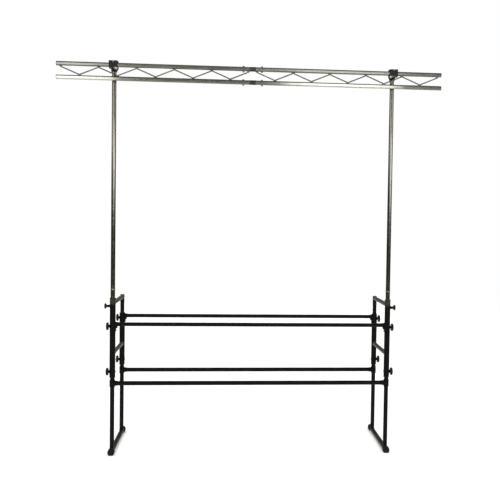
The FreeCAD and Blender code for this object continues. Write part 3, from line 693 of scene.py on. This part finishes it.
# ------------------------------------------------------------- wing screws
def wing(node, joint):
    j = JOINTS[joint]
    lo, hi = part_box(node)
    cx, cz = (lo[0] + hi[0]) / 2, (lo[2] + hi[2]) / 2
    y0 = lo[1] + 0.011
    m = place((cx, y0, cz), (0, -1, 0))
    b = Build()
    b.shell(*lathe_data([(0, 0.0), (6.6, 0.0), (7.0, 0.5), (6.9, 2.5), (6.0, 7.5), (5.6, 9.2), (5.0, 10.0), (0, 10.2)],
                        40), m)
    # two swept blades, thick at the root and rounded at the rim
    for turn in (0, math.pi):
        rot = m @ Matrix.Rotation(turn, 4, "Z")
        cols = []
        for i in range(9):
            t = i / 8.0
            x = 4.0 + 11.6 * t
            lowz = 2.2 + 1.2 * t * t
            highz = 8.6 + 2.2 * math.sin(t * math.pi * 0.62)
            if t > 0.85:
                highz -= 1.6 * (t - 0.85) / 0.15
                lowz += 1.0 * (t - 0.85) / 0.15
            half = 2.6 * (1 - t) + 1.35
            sweep = 1.6 * t * t
            ring = []
            for k in range(12):
                a = 2 * math.pi * k / 12
                cxx = math.copysign(abs(math.cos(a)) ** 0.6, math.cos(a)) * half
                czz = math.copysign(abs(math.sin(a)) ** 0.6, math.sin(a)) * (highz - lowz) / 2
                ring.append((x * MM, (cxx + sweep) * MM, ((lowz + highz) / 2 + czz) * MM))
            cols.append(ring)
        verts = [v for ring in cols for v in ring]
        faces = []
        for i in range(8):
            for k in range(12):
                l = (k + 1) % 12
                faces.append((i * 12 + k, i * 12 + l, (i + 1) * 12 + l, (i + 1) * 12 + k))
        faces.append(tuple(reversed(range(12))))
        faces.append(tuple(8 * 12 + k for k in range(12)))
        b.shell(verts, faces, rot)
    prof = [(0, -37.9), (3.2, -37.9), (3.9, -37.2)]
    z = -36.6
    while z < -1.0:
        prof += [(3.95, z), (3.95, z + 0.15), (3.4, z + 0.6), (3.4, z + 0.7)]
        z += 1.25
    prof += [(3.95, 0), (3.95, 2), (0, 2)]
    b.shell(*lathe_data(prof, 28), m)
    # plain washer between the wing and the clamp
    b.shell(*lathe_data([(4.4, -0.1), (8.6, -0.1), (8.8, -0.35), (8.6, -0.9), (4.4, -0.9)], 40), m)
    piece(b.done(node + "_metal", 35), BODY[node], "zinc", [node])


for side in ("left", "right"):
    wing("wing_screw_" + side, "wing_screw_%s_turn" % side)


# ---------------------------------------------------------------- foot boots
def boot(node):
    lo, hi = [Vector(v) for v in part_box(node)]
    front = "front" in node
    cx = (lo.x + hi.x) / 2
    zc = 20.0
    if front:
        start, sign = hi.y, -1.0
    else:
        start, sign = lo.y, 1.0
    length = (hi.y - lo.y) / MM
    count = 80

    def outline(scale, floor=True):
        pts = []
        for k in range(count):
            a = 2 * math.pi * k / count - math.pi / 2
            c, s = math.cos(a), math.sin(a)
            n = 2.35 if s > 0 else 3.6
            r = (abs(c) ** n + abs(s) ** n) ** (-1.0 / n)
            x, z = 20.9 * r * c * scale, 20.9 * r * s * scale
            if z < -zc + (0.0 if floor else 1.2):
                z = -zc + (0.0 if floor else 1.2)
            pts.append((x, z))
        return pts

    def ring(scale, d, floor=True):
        return [((cx + x * MM), start + sign * d * MM, (zc + z) * MM) for x, z in outline(scale, floor)]

    def bore(radius, d):
        out = []
        for k in range(count):
            a = 2 * math.pi * k / count - math.pi / 2
            out.append((cx + radius * math.cos(a) * MM, start + sign * d * MM, (zc + radius * math.sin(a)) * MM))
        return out

    rings = [bore(15.15, length - 9.0), bore(15.15, 1.0), bore(15.9, 0.15), ring(0.90, 0.0, False),
             ring(0.975, 0.7), ring(1.0, 1.8), ring(1.0, 5.2), ring(0.985, 6.0), ring(0.955, 6.6), ring(0.955, 8.2),
             ring(0.975, 9.2)]
    for k in range(1, 9):
        rings.append(ring(0.975 + 0.015 * math.sin(k / 8 * math.pi), 9.2 + k * (length - 17.0) / 8))
    rings += [ring(0.99, length - 6.8), ring(0.985, length - 4.6), ring(0.955, length - 2.6), ring(0.90, length - 1.2, False),
              ring(0.80, length - 0.3, False), ring(0.62, length - 0.05, False)]
    verts = [v for r in rings for v in r]
    faces = []
    for i in range(len(rings) - 1):
        for k in range(count):
            l = (k + 1) % count
            faces.append((i * count + k, i * count + l, (i + 1) * count + l, (i + 1) * count + k))
    faces.append(tuple(range(count)))
    last = (len(rings) - 1) * count
    faces.append(tuple(reversed(range(last, last + count))))
    ob = add(node + "_boot", verts, faces, None, 40)
    piece(ob, BODY[node], "rubber", [node])


for side in ("left", "right"):
    for line in ("front", "rear"):
        boot("foot_cap_%s_%s" % (line, side))


# --------------------------------------------------------------- weld beads
def beads(name, body, paths, radius, key="weld", closed=True, ripple=0.28, waves=30):
    b = Build()
    for path in paths:
        b.shell(*sweep_data(path, radius * MM, closed, 10, ripple, waves), Matrix())
    piece(b.done(name, 60), body, key)


paths = []
for side in ("left", "right"):
    foot = mid("foot_tube_" + side)
    for line in ("front", "rear"):
        p = LEG[(line, side)]
        paths.append(saddle((p.x, p.y, foot.z), (0, 0, 1), (0, 1, 0), 14.3, 15.0, grow=0.5))
beads("foot_welds", "base", paths, 1.7)

paths = []
for node, ends in (("depth_bars_top", (19.05, 14.3)), ("depth_bars_mid", (19.05, 19.05))):
    z = mid(node).z
    for side in ("left", "right"):
        p, q = LEG[("front", side)], LEG[("rear", side)]
        paths.append(saddle((p.x, p.y, z), (0, 1, 0), (0, 0, 1), 14.0, ends[0], grow=0.4))
        paths.append(saddle((q.x, q.y, z), (0, -1, 0), (0, 0, 1), 14.0, ends[1], grow=0.4))
beads("depth_bar_welds", "upper_frame", paths, 1.6)

paths = []
for name, j in JOINTS.items():
    if name.startswith("knob"):
        side = "left" if name.endswith("left_turn") else "right"
        p = Vector((LEG[("front", side)].x, j["pos_m"][1], j["pos_m"][2]))
        paths.append(saddle(p, OUT[side], (0, 0, 1), 9.0, 19.05, 56, 0.45))
beads("nut_welds", "upper_frame", paths, 1.35, waves=18)

# tacks where each bend of the zigzag meets a chord
tacks = []
for side in ("left", "right"):
    lo, hi = [Vector(v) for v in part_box("zigzag_" + side)]
    up = mid("chord_upper_" + side)
    down = mid("chord_lower_" + side)
    first, last = (lo.x, hi.x) if side == "left" else (hi.x, lo.x)
    inset = 0.00355
    first += inset if side == "left" else -inset
    last -= inset if side == "left" else -inset
    for i in range(11):
        x = first + (last - first) * i / 10.0
        z = up.z - 0.0143 if i % 2 == 0 else down.z + 0.0143
        sgn = -1 if i % 2 == 0 else 1
        for dy in (-1, 1):
            path = []
            for k in range(15):
                t = (k - 7) / 7.0
                path.append((x + t * 0.0095, up.y + dy * (0.0033 + 0.0005 * abs(t)), z + sgn * (0.0006 + 0.0007 * t * t)))
            tacks.append(path)
beads("truss_tacks", "gantry", tacks, 1.5, "tack", False, 0.3, 5)


# ---------------------------------------------------------------- fasteners
def washer(b, m, inner, outer, z0, thick):
    b.shell(*lathe_data([(inner, z0), (outer - 0.25, z0), (outer, z0 + 0.25), (outer, z0 + thick - 0.25),
                         (outer - 0.25, z0 + thick), (inner, z0 + thick)], 40), m)


def threads(radius, z0, z1, pitch=1.25):
    prof = [(0, z0), (radius - 0.7, z0), (radius - 0.1, z0 + 0.5)]
    z = z0 + 0.8
    while z < z1 - pitch:
        prof += [(radius, z), (radius, z + 0.15), (radius - 0.5, z + 0.6), (radius - 0.5, z + 0.7)]
        z += pitch
    prof += [(radius - 0.5, z1), (0, z1)]
    return prof


def hex_bolt(b, point, axis, flats, head, under, reach, nut_at=None, nut=6.0, turn=0.3, radius=3.9):
    """Hexagon bolt whose head stands on the point and whose shank runs against axis."""
    m = place(point, axis) @ Matrix.Rotation(turn, 4, "Z")
    washer(b, m, radius + 0.3, flats * 0.62, 0.0, under)
    b.shell(*hexagon_data(flats, head - under, 0.9, under), m)
    b.shell(*lathe_data([(r, -z) for r, z in threads(radius, 0.0, 1.0)][:0] or
                        [(0, 0.2), (radius, 0.2), (radius, -reach + 7), (radius - 0.4, -reach + 6.6),
                         (radius - 0.4, -reach + 0.6), (radius - 1.0, -reach), (0, -reach)], 28), m)
    if nut_at is not None:
        n = place(Vector(point) - Vector(axis).normalized() * nut_at * MM, -Vector(axis)) @ Matrix.Rotation(turn + 0.5, 4, "Z")
        b.shell(*hexagon_data(flats, nut, 0.8, 0.0), n)


def button_screw(b, point, axis, rad, height, socket, turn=0.2):
    """Button head with a hexagon socket."""
    m = place(point, axis) @ Matrix.Rotation(turn, 4, "Z")
    segs = 48
    prof = [(rad * 0.97, 0.0), (rad, 0.35)]
    for k in range(1, 7):
        a = k / 6 * math.pi / 2 * 0.72
        prof.append((rad * math.cos(a) ** 0.9, 0.35 + (height - 0.35) * math.sin(a) / math.sin(math.pi / 2 * 0.72)))
    verts, faces, rows = [], [], []

    def hexr(a, f):
        k = (a + math.pi / 6) % (math.pi / 3) - math.pi / 6
        return f / 2 / math.cos(k)

    for r, z in prof:
        rows.append([len(verts) + i for i in range(segs)])
        verts += [(r * MM * math.cos(2 * math.pi * i / segs), r * MM * math.sin(2 * math.pi * i / segs), z * MM)
                  for i in range(segs)]
    for f, z in ((socket + 0.5, height), (socket, height - 0.3), (socket, height - 2.0)):
        rows.append([len(verts) + i for i in range(segs)])
        verts += [(hexr(2 * math.pi * i / segs, f) * MM * math.cos(2 * math.pi * i / segs),
                   hexr(2 * math.pi * i / segs, f) * MM * math.sin(2 * math.pi * i / segs), z * MM)
                  for i in range(segs)]
    for a, c in zip(rows, rows[1:]):
        for i in range(segs):
            k = (i + 1) % segs
            faces.append((a[i], a[k], c[k], c[i]))
    faces.append(tuple(reversed(rows[0])))
    faces.append(tuple(rows[-1]))
    b.shell(verts, faces, m)


# joint bolts of the truss: head underneath, nut on top
b = Build()
for node in ("chord_upper_left", "chord_lower_left"):
    c = mid(node)
    for x in (-0.060, 0.060):
        hex_bolt(b, (x, c.y, c.z - 0.0146), (0, 0, -1), 11.4, 6.9, 1.4, 35.0, 29.2, 5.8,
                 0.2 + 0.6 * (x > 0), 3.9)
piece(b.done("truss_joint_bolts", 30), "gantry", "zinc", ["joint_bolts"])

# pinch bolts of the lower brackets
b = Build()
for (line, side), p in LEG.items():
    c = mid("lower_cross_" + line)
    y = p.y + (0.0215 if line == "front" else -0.0215)
    hex_bolt(b, (p.x + OUT[side].x * 0.01005, y, c.z), OUT[side], 10.0, 4.9, 1.0, 17.3, None, 0, 0.4, 3.0)
piece(b.done("bracket_pinch_bolts", 30), "base", "zinc", ["lower_bracket_bolts"])

# upper bracket screws and bush rivets, on the inner sides of the sleeves
b = Build()
for (line, side), p in LEG.items():
    c = mid("upper_cross_" + line)
    inn = -OUT[side]
    at = Vector((p.x, p.y, c.z - 0.040)) + inn * 0.02245
    button_screw(b, at, inn, 5.4, 3.6, 3.2, 0.3)
    b.shell(*lathe_data([(0, 0.4), (2.9, 0.4), (2.9, -3.2), (0, -3.2)], 24), place(at, inn))
    j = JOINTS["knob_lower_%s_%s_turn" % (line, side)]
    at = Vector((p.x, p.y, j["pos_m"][2])) + inn * 0.0192
    b.shell(*lathe_data([(0, 0.0), (6.2, 0.0), (6.4, 0.4), (6.1, 1.6), (5.2, 2.9), (3.8, 3.9), (2.0, 4.4), (0, 4.5)],
                        40), place(at, inn))
piece(b.done("bracket_screw_set", 35), "upper_frame", "zinc", ["bracket_screws"])

# upper clamp bolts
b = Build()
for side in ("left", "right"):
    lo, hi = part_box("clamp_bolts")
    p = LEG[("front", side)]
    z = (lo[2] + hi[2]) / 2
    m_at = (p.x, lo[1] + 0.004, z)
    button_screw(b, m_at, (0, -1, 0), 5.1, 3.9, 4.0, 0.1)
    b.shell(*lathe_data([(0, 0.3), (2.9, 0.3), (2.9, -35.8), (0, -35.8)], 24), place(m_at, (0, -1, 0)))
piece(b.done("clamp_bolt_set", 35), "gantry", "zinc", ["clamp_bolts"])


# ------------------------------------------------------------ plastic rings
def rounded_ring(b, m, inner, outer, z0, z1, rad=0.8):
    b.shell(*lathe_data([(inner, z0 + 0.3), (inner + 0.3, z0), (outer - rad, z0), (outer - rad * 0.3, z0 + rad * 0.3),
                         (outer, z0 + rad), (outer, z1 - rad), (outer - rad * 0.3, z1 - rad * 0.3), (outer - rad, z1),
                         (inner + 0.3, z1), (inner, z1 - 0.3)], 64), m)


b = Build()
lo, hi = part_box("sleeve_bushes")
for (line, side), p in LEG.items():
    m = Matrix.Translation((p.x, p.y, 0))
    rounded_ring(b, m, 14.75, 19.35, lo[2] / MM, lo[2] / MM + 3.0, 0.9)
    b.shell(*lathe_data([(14.75, lo[2] / MM + 2.6), (16.95, lo[2] / MM + 2.6), (16.95, hi[2] / MM - 0.8),
                         (16.3, hi[2] / MM), (14.75, hi[2] / MM)], 64), m)
piece(b.done("sleeve_mouth_bushes", 30), "upper_frame", "plug", ["sleeve_bushes"])

b = Build()
for (line, side), p in LEG.items():
    m = Matrix.Translation((p.x, p.y, 0))
    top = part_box("sleeve_%s_%s" % (line, side))[1][2] / MM
    bore, flange = (14.75, 20.4) if line == "front" else (14.4, 20.1)
    b.shell(*lathe_data([(bore + 0.5, top + 3.0), (bore, top + 2.5), (bore, top - 24), (16.4, top - 24),
                         (16.95, top - 23), (16.95, top - 0.02), (flange, top + 0.02), (flange, top + 1.6),
                         (flange - 0.3, top + 2.4), (flange - 1.1, top + 3.0)], 64), m)
piece(b.done("sleeve_top_collars", 30), "upper_frame", "plug", ["top_collars"])

b = Build()
lo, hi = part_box("stub_plugs")
for side in ("left", "right"):
    p = LEG[("rear", side)]
    m = Matrix.Translation((p.x, p.y, 0))
    z = hi[2] / MM
    b.shell(*lathe_data([(0, z - 19), (11.8, z - 19), (12.6, z - 18), (12.6, z - 3.0), (14.25, z - 3.0),
                         (14.25, z - 1.9), (13.8, z - 1.1), (12.6, z - 0.55), (9.0, z - 0.15), (0, z)], 56), m)
piece(b.done("stub_end_plugs", 30), "upper_frame", "plug", ["stub_plugs"])

b = Build()
for level in ("upper", "lower"):
    c = mid("chord_%s_left" % level)
    for sgn in (-1, 1):
        m = place((sgn * 1.25, c.y, c.z), (-sgn, 0, 0))
        b.shell(*lathe_data([(0, 0.9), (3.4, 0.9), (4.4, 0.55), (4.9, 0.1), (5.6, 0.0), (11.6, 0.0), (13.6, 0.22),
                             (14.5, 0.8), (14.85, 1.6), (14.85, 2.6), (14.6, 2.97), (12.6, 2.98), (12.6, 16.0),
                             (11.8, 17.0), (0, 17.0)], 64), m)
piece(b.done("chord_end_caps", 30), "gantry", "plug", ["truss_end_caps"])

b = Build()
for level in ("upper", "lower"):
    c = mid("chord_%s_left" % level)
    m = place((-0.020, c.y, c.z), (1, 0, 0))
    b.shell(*lathe_data([(14.36, 0.0), (14.8, 0.0), (15.05, 0.35), (15.1, 1.0), (15.1, 2.6), (14.85, 3.0),
                         (14.85, 18.9), (14.7, 19.3), (14.7, 20.7), (14.85, 21.1), (14.85, 37.0), (15.1, 37.4),
                         (15.1, 39.0), (15.05, 39.65), (14.8, 40.0), (14.36, 40.0)], 64), m)
piece(b.done("chord_joint_collars", 30), "gantry", "plate_collar", ["joint_collars"])

# pole joint rings: knurled bright ring and its hidden spigot
b = Build()
lo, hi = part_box("pole_joints")
ring_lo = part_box("pole_upper_left")[0][2] / MM - 8.0
for side in ("left", "right"):
    p = LEG[("front", side)]
    m = Matrix.Translation((p.x, p.y, 0))

    def knurl(r, z, a):
        return r - (0.22 * (0.5 - 0.5 * math.cos(40 * a)) if 1.5 < z - ring_lo < 6.5 and r > 14.6 else 0.0)

    b.shell(*lathe_data([(10.4, lo[2] / MM), (12.0, lo[2] / MM), (12.55, lo[2] / MM + 0.8), (12.55, ring_lo),
                         (14.9, ring_lo + 0.02), (15.6, ring_lo + 0.6), (15.65, ring_lo + 1.4), (15.65, ring_lo + 1.8),
                         (15.65, ring_lo + 6.2), (15.65, ring_lo + 6.6), (15.6, ring_lo + 7.4),
                         (14.9, ring_lo + 7.98), (12.55, ring_lo + 8.0), (12.55, hi[2] / MM - 0.8),
                         (12.0, hi[2] / MM), (10.4, hi[2] / MM)], 160, knurl), m)
piece(b.done("pole_joint_rings", 30), "gantry", "plate_ring", ["pole_joints"])

# rounded edges on the castings and brackets that stay from the design
soften("lower_brackets", 0.9)
soften("upper_brackets", 0.6)
soften("weld_nuts", 0.5)
for node in ("truss_clamp_left", "truss_clamp_right", "clamp_fronts"):
    soften(node, 1.3, 3)

# -------------------------------------------------------------------- stage
floor_mesh = bpy.data.meshes.new("floor")
R = 6.4
count = 96
fv = [(0, 0, 0)] + [(R * math.cos(2 * math.pi * i / count), R * math.sin(2 * math.pi * i / count), 0)
                    for i in range(count)]
ff = [(0, i + 1, (i + 1) % count + 1) for i in range(count)]
floor_mesh.from_pydata(fv, [], ff)
floor = bpy.data.objects.new("floor", floor_mesh)
floor.location = (0, 3.2, -0.0004)
bpy.context.scene.collection.objects.link(floor)
fm, nt, b = tree("floor_paper")
v = coords(nt)
cloud = noise(nt, v, 0.8, 3.0, 0.5)
nt.links.new(ramp(nt, cloud, [(0.3, (0.90, 0.90, 0.90)), (0.7, (0.93, 0.93, 0.93))]), b.inputs["Base Color"])
b.inputs["Roughness"].default_value = 0.9
b.inputs["Specular IOR Level"].default_value = 0.1
floor.data.materials.append(fm)

# studio: white to the eye; the reflections see a dim room with bright panels
world = bpy.data.worlds.new("studio")
bpy.context.scene.world = world
world.use_nodes = True
wt = world.node_tree
wt.nodes.clear()
wo = wt.nodes.new("ShaderNodeOutputWorld")
seen = wt.nodes.new("ShaderNodeBackground")
seen.inputs["Color"].default_value = (1, 1, 1, 1)
seen.inputs["Strength"].default_value = 1.0
room = wt.nodes.new("ShaderNodeBackground")
room.inputs["Strength"].default_value = 1.0
tc = wt.nodes.new("ShaderNodeTexCoord")
sep = wt.nodes.new("ShaderNodeSeparateXYZ")
wt.links.new(tc.outputs["Generated"], sep.inputs[0])
height = sep.outputs["Z"]
bearing = join(wt, "ARCTAN2", sep.outputs["X"], join(wt, "MULTIPLY", sep.outputs["Y"], -1.0))


def window(value, lo, hi, soft):
    """1 between lo and hi with soft shoulders."""
    a = span(wt, value, 0.0, 1.0, lo - soft, lo + soft)
    c = span(wt, value, 1.0, 0.0, hi - soft, hi + soft)
    return join(wt, "MULTIPLY", a, c)


def deg(v):
    return math.radians(v)


walls = ramp(wt, span(wt, height, 0.0, 1.0, -1.0, 1.0),
             [(0.0, (0.4, 0.4, 0.37)), (0.3, (0.5, 0.49, 0.44)), (0.42, (0.36, 0.35, 0.3)), (0.45, (0.13, 0.126, 0.1)),
              (0.505, (0.14, 0.136, 0.108)), (0.6, (0.42, 0.41, 0.37)), (0.75, (0.5, 0.49, 0.45)),
              (1.0, (0.55, 0.545, 0.52))])
# band that lights the upper part of the poles
lean = span(wt, bearing, -0.25, 0.25, -0.25, 0.25)
rise = join(wt, "ADD", height, join(wt, "MULTIPLY", lean, 0.045))
band = join(wt, "MULTIPLY", window(rise, 0.028, 0.112, 0.012), window(bearing, deg(-26), deg(55), deg(14)))
# tall panels that light the chords left and right of the middle
across = sep.outputs["X"]
panel = join(wt, "ADD", window(across, -0.235, -0.143, 0.02), window(across, 0.062, 0.198, 0.016))
panel = join(wt, "MULTIPLY", panel, window(height, -0.8, 0.62, 0.12))
gap = join(wt, "SUBTRACT", 1.0, window(height, -0.125, 0.2, 0.012))
panel = join(wt, "MULTIPLY", panel, gap)
front = span(wt, sep.outputs["Y"], 1.0, 0.0, -0.25, 0.1)
panel = join(wt, "MULTIPLY", panel, front)
glow = join(wt, "ADD", join(wt, "MULTIPLY", band, 4.2), join(wt, "MULTIPLY", panel, 4.6))
white = wt.nodes.new("ShaderNodeCombineColor")
for k in range(3):
    wt.links.new(glow, white.inputs[k])
one = wt.nodes.new("ShaderNodeValue")
one.outputs[0].default_value = 1.0
wt.links.new(blend_rgb(wt, one.outputs[0], walls, white.outputs[0], "ADD"), room.inputs["Color"])
lp = wt.nodes.new("ShaderNodeLightPath")
mix = wt.nodes.new("ShaderNodeMixShader")
wt.links.new(lp.outputs["Is Camera Ray"], mix.inputs[0])
wt.links.new(room.outputs[0], mix.inputs[1])
wt.links.new(seen.outputs[0], mix.inputs[2])
wt.links.new(mix.outputs[0], wo.inputs[0])


def lamp(name, kind, loc, look, power, size=None, colour=(1, 1, 1)):
    d = bpy.data.lights.new(name, kind)
    if kind == "AREA":
        d.shape = "RECTANGLE"
        d.size, d.size_y = size
    else:
        d.angle = size
    d.energy = power
    d.color = colour
    o = bpy.data.objects.new(name, d)
    o.location = loc
    o.rotation_mode = "QUATERNION"
    o.rotation_quaternion = (Vector(look) - Vector(loc)).to_track_quat("-Z", "Y")
    o.visible_camera = False
    bpy.context.scene.collection.objects.link(o)
    return o


sky = lamp("soft_sky", "SUN", (0, 0.4, 6.0), (0, 0, 0), 2.4, deg(80))
sky.visible_glossy = False
lamp("soft_left", "AREA", (-4.6, -4.2, 3.4), (0, 0, 1.0), 60, (2.0, 2.0), (1.0, 0.985, 0.96))
lamp("soft_right", "AREA", (4.8, -3.6, 3.0), (0, 0, 1.0), 45, (2.0, 2.0))

# ------------------------------------------------------------------- camera
cam_data = bpy.data.cameras.new("camera")
cam = bpy.data.objects.new("camera", cam_data)
bpy.context.scene.collection.objects.link(cam)
FOCAL, PX = 797.98, 48.44
YAW, PITCH, ROLL = 0.08792, -0.03738, 0.01533
cam.location = (-0.14557, -5.52078, 1.55106)
fwd = Vector((math.sin(YAW) * math.cos(PITCH), math.cos(YAW) * math.cos(PITCH), math.sin(PITCH)))
right = Vector((math.cos(YAW), -math.sin(YAW), 0))
upv = right.cross(fwd)
cr, sr = math.cos(ROLL), math.sin(ROLL)
cam_right = right * cr + upv * sr
cam_up = upv * cr - right * sr
cam.rotation_mode = "QUATERNION"
cam.rotation_quaternion = Matrix((cam_right, cam_up, -fwd)).transposed().to_quaternion()
cam_data.sensor_width = 36.0
cam_data.lens = 36.0 * FOCAL / 500.0
cam_data.shift_x = -PX / 500.0
cam_data.clip_start = 0.05
cam_data.clip_end = 200.0
bpy.context.scene.camera = cam
bpy.context.scene.view_settings.view_transform = "Standard"
bpy.context.scene.view_settings.look = "None"
